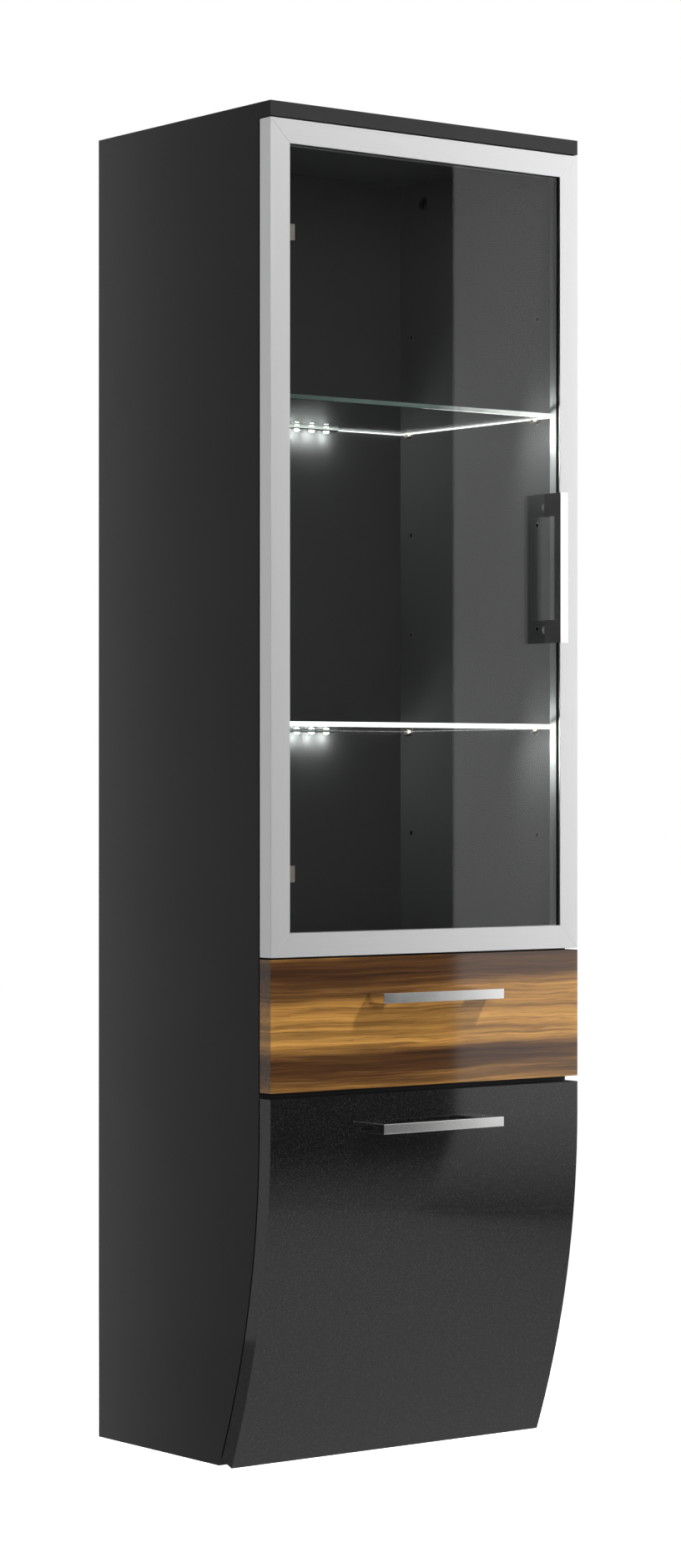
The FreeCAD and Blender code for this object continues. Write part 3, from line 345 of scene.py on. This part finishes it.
glass = {"doorTint": (0.96, 0.98, 0.97), "doorIor": 1.29, "shelfTint": (0.90, 0.955, 0.93), "shelfIor": 1.03,
         "shelfCoat": 0.15, "cloudScale": 3.0, "cloudLift": 0.015}


def clearGlass(name, tint, ior, coat=0.0):
    material, tree, shader = startFinish(name, Transmission_Weight=1.0, IOR=ior, Roughness=0.0,
                                         Coat_Weight=coat, Coat_Roughness=0.0)
    cloud = noise(tree, objectPlace(tree), glass["cloudScale"])
    lighter = tuple(min(1.0, value + glass["cloudLift"]) for value in tint)
    tree.links.new(ramp(tree, cloud, [(0.3, tint), (0.7, lighter)]), shader.inputs["Base Color"])
    clearFor(tree, shader)
    return material


# emitting glass edges: painted glow standing in for the LED light that leaves the shelf edges
litEdge = {"base": (0.015, 0.024, 0.021), "far": (1.0, 1.0, 0.97), "streakStretch": (60.0, 60.0, 6.0),
           "streakDepth": 0.16,
           "soft": {"strength": 1.0, "near": (0.015, 0.022, 0.02), "middle": (0.06, 0.08, 0.07)},
           "bright": {"strength": 2.2, "near": (0.5, 0.55, 0.52), "middle": (0.7, 0.76, 0.72)}}


def glowingEdge(name, strength, near, middle):
    # painted glow: the glass edge emits light, brighter towards the right end of the shelf
    material, tree, shader = startFinish(name, Base_Color=litEdge["base"], Roughness=0.25,
                                         Emission_Strength=strength)
    place = objectPlace(tree)
    left, right = (corner.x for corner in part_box("glass_shelf_upper"))
    across = remap(tree, addNode(tree, "ShaderNodeSeparateXYZ", {0: place}).outputs["X"], left, right)
    streaks = noise(tree, stretch(tree, place, litEdge["streakStretch"]), 1.0)
    uneven = compute(tree, "MULTIPLY", compute(tree, "SUBTRACT", streaks, 0.5), litEdge["streakDepth"])
    stops = [(0.0, near), (0.6, middle), (0.95, litEdge["far"])]
    tree.links.new(ramp(tree, compute(tree, "ADD", across, uneven), stops), shader.inputs["Emission Color"])
    return material


lampLens = {"warm": (1.0, 1.0, 0.95), "cool": (0.96, 1.0, 0.98), "strength": 14.0, "speckleScale": 900.0}


def ledLens():
    material, tree, shader = startFinish("ledLens", Base_Color=(0.9, 0.9, 0.88), Roughness=0.2,
                                         Emission_Strength=lampLens["strength"])
    speckle = noise(tree, objectPlace(tree), lampLens["speckleScale"], 1.0)
    tint = ramp(tree, speckle, [(0.3, lampLens["warm"]), (0.7, lampLens["cool"])])
    tree.links.new(tint, shader.inputs["Emission Color"])
    return material


finishes = {
    "anthracite": anthraciteLacquer("boardLacquer", **lacquer["board"]),
    "back_laminate": anthraciteLacquer("backLaminate", **lacquer["back"]),
    "metallic": anthraciteLacquer("flapLacquer", **lacquer["flap"]),
    "zinc": polishedMetal("castZinc", (0.42, 0.42, 0.43), 0.4),
    "steel": polishedMetal("platedSteel", (0.62, 0.62, 0.6), 0.3),
    "runner_steel": polishedMetal("runnerSteel", (0.5, 0.51, 0.52), 0.42),
    "beech": plainWood("beechDowel", (0.62, 0.42, 0.24), (0.48, 0.30, 0.16), (60.0, 60.0, 60.0)),
    "box_board": plainWood("drawerBoard", (0.50, 0.47, 0.42), (0.42, 0.39, 0.35), (6.0, 6.0, 90.0)),
    "dark_plastic": mouldedPlastic("darkPlastic", (0.03, 0.03, 0.032), 0.45),
    "black_rubber": mouldedPlastic("blackRubber", (0.012, 0.012, 0.012), 0.6),
    "clear_plastic": mouldedPlastic("clearBumper", (0.55, 0.56, 0.55), 0.3),
    "nylon": mouldedPlastic("whiteNylon", (0.72, 0.72, 0.70), 0.4),
    "shelf_glass": clearGlass("shelfGlass", glass["shelfTint"], glass["shelfIor"], glass["shelfCoat"]),
    "door_glass": clearGlass("doorGlass", glass["doorTint"], glass["doorIor"]),
    "nickel": polishedMetal("satinNickel", (0.66, 0.60, 0.52), 0.24),
    "clip_metal": polishedMetal("clipSteel", (0.6, 0.6, 0.6), 0.3),
    "lens": ledLens(),
    "frame_aluminium": brushedFrame("brushedUpright",
                                    (frameMetal["across"], frameMetal["across"], frameMetal["along"])),
    "chrome": polishedMetal("satinChrome", (0.92, 0.915, 0.91), 0.16, polish["handleSmear"]),
    "walnut": walnut(),
}
# paler copy of the board lacquer for the inside faces: painted light inside the cabinet
innerLacquer = anthraciteLacquer("innerLacquer", **lacquer["inner"])
brushedAcross = brushedFrame("brushedAcross",
                             (frameMetal["along"], frameMetal["across"], frameMetal["across"]))
# a dim and a bright painted glow for the shelf edges
softEdge = glowingEdge("softGlassEdge", **litEdge["soft"])
brightEdge = glowingEdge("brightGlassEdge", **litEdge["bright"])
# near-black finish for the screw and cam crosses: painted shade of the recesses
recessDark = mouldedPlastic("recessShadow", (0.01, 0.01, 0.01), 0.5)

for name, node in nodes.items():
    node.data.materials.clear()
    # the cam locks are dark, so that they don't show on the inner walls
    node.data.materials.append(finishes["dark_plastic" if name == "cam_locks" else slotOf[name]])
print("finishes given to", len(nodes), "sub-parts")


# boards, frame members and handles with softened edges stand for the plain CAD ones

softEdges = {"board": 0.0005, "top": 0.001, "front": 0.0011, "frame": 0.00035, "handle": 0.0009,
             "hinge": 0.0006, "glass": 0.0004, "flatAngle": 0.4, "cornerAngle": 32.0}


def addPiece(name, mesh, body):
    piece = bpy.data.objects.new(name, mesh)
    scene.collection.objects.link(piece)
    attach(piece, body)
    return piece


def pieceName(text):
    return text.replace("_", " ").title().replace(" ", "")


def softened(nodeName, label, materials, radius, segments=2, pickFace=None):
    source = nodes[nodeName]
    shape = bmesh.new()
    shape.from_mesh(source.data)
    bmesh.ops.remove_doubles(shape, verts=shape.verts, dist=1e-6)
    bmesh.ops.dissolve_limit(shape, angle_limit=math.radians(softEdges["flatAngle"]), verts=shape.verts,
                             edges=shape.edges)
    for face in shape.faces:
        face.smooth = True
        face.material_index = pickFace(face) if pickFace else 0
    mesh = bpy.data.meshes.new(label)
    shape.to_mesh(mesh)
    shape.free()
    for material in materials:
        mesh.materials.append(material)
    piece = addPiece(label, mesh, source["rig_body"])
    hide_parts(nodeName)
    bevel = piece.modifiers.new("softEdges", "BEVEL")
    bevel.width = radius
    bevel.segments = segments
    bevel.limit_method = "ANGLE"
    bevel.angle_limit = math.radians(softEdges["cornerAngle"])
    bevel.use_clamp_overlap = True
    weighted = piece.modifiers.new("evenShading", "WEIGHTED_NORMAL")
    weighted.keep_sharp = True


# faces towards the inside of the carcass get the paler inner lacquer: painted light inside the cabinet
for name, inward in (("top_panel", (0, 0, -1)), ("left_side", (1, 0, 0)), ("right_side", (-1, 0, 0)),
                     ("bottom_panel", (0, 0, 1)), ("lower_divider", (0, 0, 1)), ("upper_divider", (0, 0, 1))):
    softened(name, pieceName(name), [finishes["anthracite"], innerLacquer],
             softEdges["top" if name == "top_panel" else "board"], 2,
             lambda face: 1 if face.normal.dot(Vector(inward)) > 0.5 else 0)
softened("flap_panel", "CurvedFlap", [finishes["metallic"]], softEdges["front"], 3)
softened("drawer_front", "WalnutFront", [finishes["walnut"]], softEdges["front"], 3)
for name, material in (("door_left_stile", finishes["frame_aluminium"]),
                       ("door_right_stile", finishes["frame_aluminium"]),
                       ("door_top_rail", brushedAcross), ("door_bottom_rail", brushedAcross)):
    softened(name, pieceName(name.replace("door", "frame")), [material], softEdges["frame"])
for name in ("door_handle", "drawer_handle", "flap_handle"):
    softened(name, pieceName(name), [finishes["chrome"]], softEdges["handle"], 3)
for name in ("door_hinge_arms", "hinge_plates", "flap_hinge_arms"):
    softened(name, pieceName(name), [finishes[slotOf[name]]], softEdges["hinge"])
# painted glow on the shelf edges: the lower shelf's front edge glows as brightly as the other edges, the
# upper one's only softly
for name, frontEdge in (("glass_shelf_lower", 2), ("glass_shelf_upper", 1)):
    softened(name, pieceName(name), [finishes["shelf_glass"], softEdge, brightEdge], softEdges["glass"], 1,
             lambda face: 0 if abs(face.normal.z) > 0.5 else frontEdge if face.normal.y < -0.5 else 2)
print("softened pieces made")


# small repeated details, each grown by its own node tree

def startTree(name, inputs):
    tree = bpy.data.node_groups.new(name, "GeometryNodeTree")
    tree.interface.new_socket("Geometry", in_out="INPUT", socket_type="NodeSocketGeometry")
    for label, value in inputs.items():
        kind = "NodeSocketInt" if isinstance(value, int) else "NodeSocketFloat"
        tree.interface.new_socket(label, in_out="INPUT", socket_type=kind).default_value = value
    tree.interface.new_socket("Geometry", in_out="OUTPUT", socket_type="NodeSocketGeometry")
    return tree, addNode(tree, "NodeGroupInput"), addNode(tree, "NodeGroupOutput")


def finishTree(tree, result, geometry, material):
    real = addNode(tree, "GeometryNodeRealizeInstances", {0: geometry}).outputs[0]
    painted = addNode(tree, "GeometryNodeSetMaterial", {"Geometry": real, "Material": material}).outputs[0]
    tree.links.new(painted, result.inputs[0])


def grow(label, points, facings, tree, values, body):
    seed = bpy.data.meshes.new(label + "Points")
    seed.from_pydata(points, [], [])
    facing = seed.attributes.new("facing", "FLOAT_VECTOR", "POINT")
    facing.data.foreach_set("vector", [part for direction in facings for part in direction])
    holder = bpy.data.objects.new(label + "Seed", seed)
    scene.collection.objects.link(holder)
    modifier = holder.modifiers.new("grown", "NODES")
    modifier.node_group = tree
    names = {item.name: item.identifier for item in tree.interface.items_tree if item.in_out == "INPUT"}
    for key, value in values.items():
        modifier[names[key]] = value
    evaluated = holder.evaluated_get(bpy.context.evaluated_depsgraph_get())
    mesh = bpy.data.meshes.new_from_object(evaluated)
    mesh.name = label
    holder.modifiers.clear()
    bpy.data.objects.remove(holder)
    bpy.data.meshes.remove(seed)
    addPiece(label, mesh, body)


def facePoints(tree, given, shape):
    facing = addNode(tree, "GeometryNodeInputNamedAttribute", {"Name": "facing"}, data_type="FLOAT_VECTOR")
    direction = facing.outputs["Attribute"]
    turn = addNode(tree, "FunctionNodeAlignRotationToVector", {"Vector": direction}, axis="Z")
    values = {"Points": given.outputs["Geometry"], "Instance": shape, "Rotation": turn.outputs[0]}
    return addNode(tree, "GeometryNodeInstanceOnPoints", values).outputs[0]


def ringTree(name, material, sizes):
    tree, given, result = startTree(name, sizes)
    loops = [addNode(tree, "GeometryNodeCurvePrimitiveCircle",
                     {"Resolution": given.outputs[steps], "Radius": given.outputs[radius]}).outputs[0]
             for steps, radius in (("ringSteps", "ringRadius"), ("wireSteps", "wireRadius"))]
    ring = addNode(tree, "GeometryNodeCurveToMesh", {"Curve": loops[0], "Profile Curve": loops[1]})
    finishTree(tree, result, facePoints(tree, given, ring.outputs[0]), material)
    return tree


def crossTree(name, material, sizes):
    tree, given, result = startTree(name, sizes)
    length, width, depth = (given.outputs[key] for key in ("slotLength", "slotWidth", "slotDepth"))
    bars = addNode(tree, "GeometryNodeJoinGeometry")
    for size in (combine(tree, length, width, depth), combine(tree, width, length, depth)):
        bar = addNode(tree, "GeometryNodeMeshCube", {"Size": size})
        tree.links.new(bar.outputs["Mesh"], bars.inputs[0])
    finishTree(tree, result, facePoints(tree, given, bars.outputs[0]), material)
    return tree


def solidsOf(nodeName):
    shape = bmesh.new()
    shape.from_mesh(nodes[nodeName].data)
    bmesh.ops.remove_doubles(shape, verts=shape.verts, dist=1e-6)
    seen, boxes = set(), []
    for start in shape.verts:
        if start in seen:
            continue
        stack, places = [start], []
        seen.add(start)
        while stack:
            vert = stack.pop()
            places.append(vert.co.copy())
            for edge in vert.link_edges:
                other = edge.other_vert(vert)
                if other not in seen:
                    seen.add(other)
                    stack.append(other)
        boxes.append((Vector(min(place[i] for place in places) for i in range(3)),
                      Vector(max(place[i] for place in places) for i in range(3))))
    shape.free()
    return boxes


def headOf(box, axis, towards):
    point = (box[0] + box[1]) / 2
    point[axis] = box[1][axis] if towards > 0 else box[0][axis]
    facing = Vector((0, 0, 0))
    facing[axis] = towards
    return point, facing


def longAxis(box):
    size = box[1] - box[0]
    return max(range(3), key=lambda i: size[i])


def shortAxis(box):
    size = box[1] - box[0]
    return min(range(3), key=lambda i: size[i])


def handleScrewHead(box):
    return headOf(box, 1, 1)


def carcassScrewHead(box):
    # level screws face the middle of the carcass, upright ones face up
    axis = longAxis(box)
    return headOf(box, axis, 1 if axis == 2 or (box[0] + box[1]).x < 0 else -1)


def camFace(box):
    # cams in level boards face down, those in the sides face the middle
    axis = shortAxis(box)
    return headOf(box, axis, -1 if axis == 2 or (box[0] + box[1]).x > 0 else 1)


# the cross recesses are thin crosses in the near-black recess finish: painted shade standing in for the
# hollows
screwCross = {"slotLength": 0.0034, "slotWidth": 0.0007, "slotDepth": 0.00012}
camCross = {"slotLength": 0.0105, "slotWidth": 0.0016, "slotDepth": 0.0002}
crossRecess = crossTree("crossRecess", recessDark, screwCross)

for label, nodeName, body, slot, cross, pickHead in (
        ("DoorHandleScrewSlots", "door_handle_screws", "glass_door", "steel", screwCross, handleScrewHead),
        ("DrawerHandleScrewSlots", "drawer_handle_screws", "drawer", "steel", screwCross, handleScrewHead),
        ("FlapHandleScrewSlots", "flap_handle_screws", "flap", "steel", screwCross, handleScrewHead),
        ("CarcassScrewSlots", "carcass_screws", "carcass", "steel", screwCross, carcassScrewHead),
        ("CamLockSlots", "cam_locks", "carcass", "zinc", camCross, camFace)):
    points, facings = zip(*(pickHead(box) for box in solidsOf(nodeName)))
    grow(label, points, facings, crossRecess, cross, body)

sleeve = {"ringRadius": 0.0027, "wireRadius": 0.00028, "ringSteps": 24, "wireSteps": 6}
holeRows = {"pitch": 0.109, "topMargin": 0.1}

pins = solidsOf("shelf_pins")
depths = sorted({round((box[0].y + box[1].y) / 2, 4) for box in pins})
level = min((box[0].z + box[1].z) / 2 for box in pins) - holeRows["pitch"]
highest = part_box("top_panel")[0].z - holeRows["topMargin"]
walls = ((1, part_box("left_side")[1].x), (-1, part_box("right_side")[0].x))
points, facings = [], []
while level < highest:
    for depth in depths:
        for inward, wall in walls:
            points.append(Vector((wall, depth, level)))
            facings.append(Vector((inward, 0, 0)))
    level += holeRows["pitch"]
sleeveRing = ringTree("holeSleeve", finishes["zinc"], sleeve)
grow("PinHoleSleeves", points, facings, sleeveRing, sleeve, "carcass")
print("repeated details grown:", len(points), "sleeves")


# stage, lamps and camera

def lamp(name, kind, place, target, energy, size, colour=(1, 1, 1), seen=True):
    data = bpy.data.lights.new(name, kind)
    data.energy = energy
    data.color = colour
    if kind == "AREA":
        data.shape = "RECTANGLE"
        data.size, data.size_y = size
    else:
        data.shadow_soft_size = size[0]
    item = bpy.data.objects.new(name, data)
    scene.collection.objects.link(item)
    item.location = place
    aim = Vector(target) - Vector(place)
    item.rotation_euler = aim.to_track_quat("-Z", "Y").to_euler()
    item.visible_camera = False
    item.visible_transmission = False
    item.visible_glossy = seen


studio = {"floorDrop": 0.45, "floorSize": 60.0, "surround": 0.02,
          "keyPlace": (1.6, -2.6, 3.0), "keyEnergy": 130.0, "keySize": 0.4,
          "fillPlace": (-0.6, -3.2, 1.2), "fillEnergy": 55.0, "fillSize": (1.2, 1.6),
          "sidePlace": (-0.45, 0.3, 0.78), "sideEnergy": 21.5, "sideSize": (0.1, 2.8),
          "lensEnergy": 0.1, "lensDrop": 0.004, "lensSize": 0.003, "lensColour": (0.93, 1.0, 0.96),
          "endEnergy": 0.11, "endOffset": (-0.06, 0.035, -0.02), "endAim": (0.03, -0.06, -0.02),
          "endSize": (0.03, 0.012), "endColour": (0.96, 1.0, 0.98),
          "rearPlace": (2.4, 2.6, 1.9), "rearEnergy": 170.0, "rearSize": (2.0, 2.0)}
# glowing panels stand upright along a run from one corner
# their glow goes from the foot's strength to an even one
panels = {"RightPanel": {"corner": (1.613, -2.241), "run": (2.33, 1.89), "foot": -0.44, "even": 0.45,
                         "head": 3.4, "footGlow": 0.25, "glow": 1.45},
          "UpperPanel": {"corner": (-2.2, -3.0), "run": (2.9, 0.2), "foot": 2.1, "even": 2.4,
                         "head": 4.6, "footGlow": 4.0, "glow": 5.5},
          "RearPanel": {"corner": (-4.6, 1.2), "run": (3.2, 2.6), "foot": -0.44, "even": 0.0,
                        "head": 4.0, "footGlow": 0.5, "glow": 0.5}}


def seenDirectly(tree):
    # the backdrop glows for the camera, also when it looks straight through a pane
    path = addNode(tree, "ShaderNodeLightPath")
    unreflected = compute(tree, "LESS_THAN", path.outputs["Glossy Depth"], 0.5)
    throughPane = compute(tree, "MULTIPLY", path.outputs["Is Transmission Ray"], unreflected)
    return compute(tree, "MAXIMUM", path.outputs["Is Camera Ray"], throughPane)


world = bpy.data.worlds.new("paleStudio")
scene.world = world
world.use_nodes = True
sky = world.node_tree
background = sky.nodes["Background"]
background.inputs["Color"].default_value = (1, 1, 1, 1)
level = remap(sky, seenDirectly(sky), 0.0, 1.0, studio["surround"], 1.0)
sky.links.new(level, background.inputs["Strength"])

floorMesh = bpy.data.meshes.new("StudioFloor")
reach = studio["floorSize"] / 2
floorLevel = low.z - studio["floorDrop"]
floorMesh.from_pydata([(-reach, -reach, floorLevel), (reach, -reach, floorLevel), (reach, reach, floorLevel),
                       (-reach, reach, floorLevel)], [], [(0, 1, 2, 3)])
floor = bpy.data.objects.new("StudioFloor", floorMesh)
scene.collection.objects.link(floor)
floorFinish, floorTree, floorShader = startFinish("paleFloor", Base_Color=(0.5, 0.5, 0.5), Roughness=0.8,
                                                  Emission_Color=(1.0, 1.0, 1.0))
floorTree.links.new(seenDirectly(floorTree), floorShader.inputs["Emission Strength"])
floorMesh.materials.append(floorFinish)

for name, sizes in panels.items():
    panelMesh = bpy.data.meshes.new(name)
    start, foot, head = sizes["corner"], sizes["foot"], sizes["head"]
    end = (start[0] + sizes["run"][0], start[1] + sizes["run"][1])
    panelMesh.from_pydata([(*start, foot), (*end, foot), (*end, head), (*start, head)], [], [(0, 1, 2, 3)])
    panel = bpy.data.objects.new(name, panelMesh)
    scene.collection.objects.link(panel)
    panel.visible_camera = False
    panel.visible_diffuse = False
    panelFinish, tree, shader = startFinish(name + "Glow", Base_Color=(0.0, 0.0, 0.0),
                                            Emission_Color=(1.0, 1.0, 1.0))
    level = addNode(tree, "ShaderNodeSeparateXYZ", {0: objectPlace(tree)}).outputs["Z"]
    tree.links.new(remap(tree, level, foot, sizes["even"], sizes["footGlow"], sizes["glow"]),
                   shader.inputs["Emission Strength"])
    path = addNode(tree, "ShaderNodeLightPath")
    inReflection = compute(tree, "GREATER_THAN", path.outputs["Glossy Depth"], 0.5)
    clear = addNode(tree, "ShaderNodeBsdfTransparent")
    glow = shader.outputs["BSDF"]
    pick = addNode(tree, "ShaderNodeMixShader", {0: inReflection, 1: clear.outputs[0], 2: glow})
    tree.links.new(pick.outputs[0], tree.nodes["Material Output"].inputs["Surface"])
    panelFinish.cycles.emission_sampling = "NONE"
    panelMesh.materials.append(panelFinish)

centre = (low + high) / 2
lamp("KeyLamp", "AREA", studio["keyPlace"], centre, studio["keyEnergy"], (studio["keySize"],) * 2, seen=False)
lamp("FillLamp", "AREA", studio["fillPlace"], centre, studio["fillEnergy"], studio["fillSize"], seen=False)
lamp("SideLamp", "AREA", studio["sidePlace"], (0.0, *studio["sidePlace"][1:]), studio["sideEnergy"],
     studio["sideSize"], seen=False)
lamp("RearLamp", "AREA", studio["rearPlace"], centre, studio["rearEnergy"], studio["rearSize"], seen=False)
for box in solidsOf("led_lenses"):
    place = (box[0] + box[1]) / 2
    place.z = box[0].z - studio["lensDrop"]
    lamp("LensLamp", "POINT", place, centre, studio["lensEnergy"], (studio["lensSize"],) * 2,
         studio["lensColour"], False)
for name in ("glass_shelf_lower", "glass_shelf_upper"):
    near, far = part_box(name)
    spot = Vector((far.x, near.y, far.z)) + Vector(studio["endOffset"])
    lamp("ShelfEndLamp", "AREA", spot, spot + Vector(studio["endAim"]), studio["endEnergy"],
         studio["endSize"], studio["endColour"])

# a level camera
view = {"lens": 88.2, "sensor": 36.0, "place": (-2.447, -3.3565, 0.6848), "turn": -37.401}
cameraData = bpy.data.cameras.new("StudioCamera")
cameraData.lens = view["lens"]
cameraData.sensor_width = view["sensor"]
camera = bpy.data.objects.new("StudioCamera", cameraData)
scene.collection.objects.link(camera)
camera.location = view["place"]
camera.rotation_euler = (math.radians(90), 0, math.radians(view["turn"]))
scene.camera = camera
scene.view_settings.view_transform = "Standard"
print("stage, lamps and camera set")
